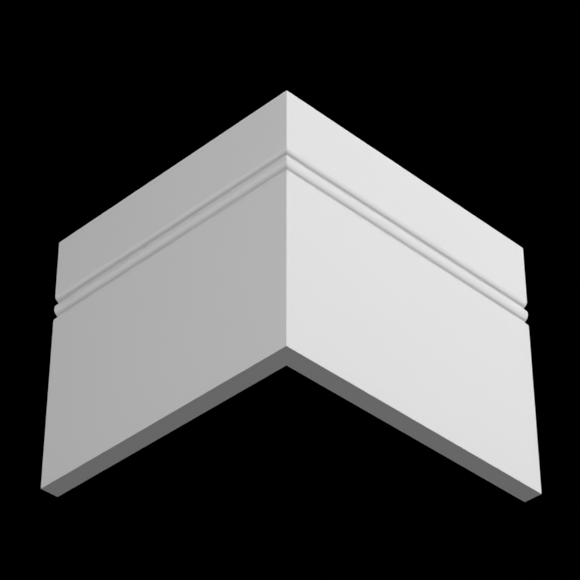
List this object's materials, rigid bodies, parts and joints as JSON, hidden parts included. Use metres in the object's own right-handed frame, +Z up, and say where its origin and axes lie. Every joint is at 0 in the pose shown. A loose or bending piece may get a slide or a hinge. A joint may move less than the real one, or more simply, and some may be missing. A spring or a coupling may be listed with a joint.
{
  "type": "skirting board",
  "caption": "Outside corner of flat white skirting board: mitred lengths that wrap a wall's corner, with a rounded bead between grooves along the upper face.",
  "frame": {"origin": "foot of the wall's outside corner, where the two back faces and the floor meet", "axes": "+X along the right board's wall, +Y along the left board's wall, +Z up; the faces that show look along -Y and -X"},
  "size_m": [0.1964, 0.1889, 0.17],
  "materials": {
    "painted_board": "smooth matt white paint on fibreboard"
  },
  "bodies": {
    "root": {"right_board": "painted_board", "left_board": "painted_board"}
  },
  "joints": []
}
